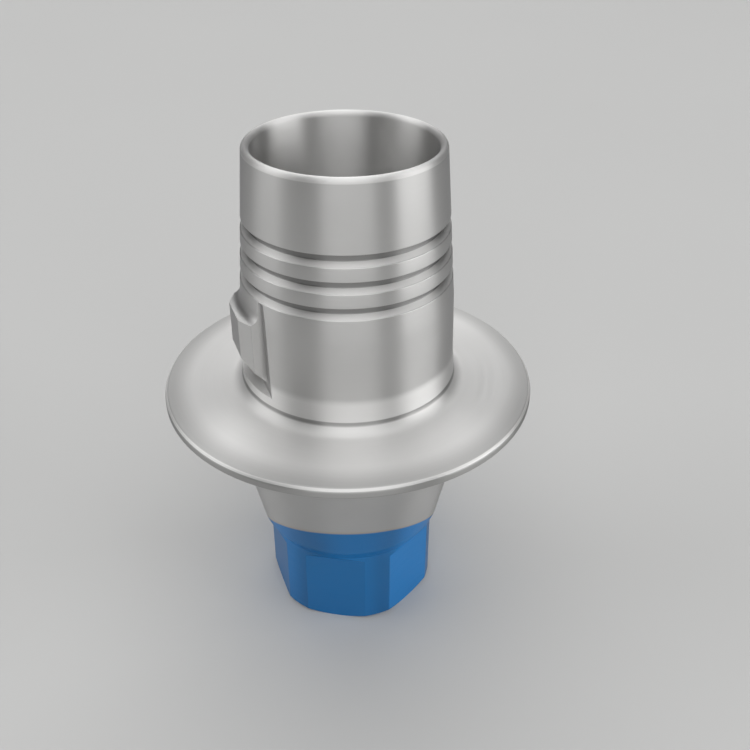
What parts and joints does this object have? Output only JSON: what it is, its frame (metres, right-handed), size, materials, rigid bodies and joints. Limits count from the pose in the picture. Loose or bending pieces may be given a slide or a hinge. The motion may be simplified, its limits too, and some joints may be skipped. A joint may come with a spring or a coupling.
{
  "type": "dental abutment",
  "caption": "One-piece titanium abutment base: grooved hollow chimney with an anti-rotation key, thin round flange, sealing cone and anodised hexagonal connection end.",
  "frame": {"origin": "centre of the flat bottom end that enters the implant", "axes": "+Z along the long axis, from the connection end to the mouth of the chimney; -X through the middle of the chimney's anti-rotation key and of one flat of the hexagon"},
  "size_m": [0.0065, 0.0064, 0.009],
  "materials": {
    "titanium": "fine-turned, softly blasted titanium, neutral grey; the connection end below the sealing cone is anodised blue"
  },
  "bodies": {
    "root": {"abutment": "titanium"}
  },
  "joints": []
}
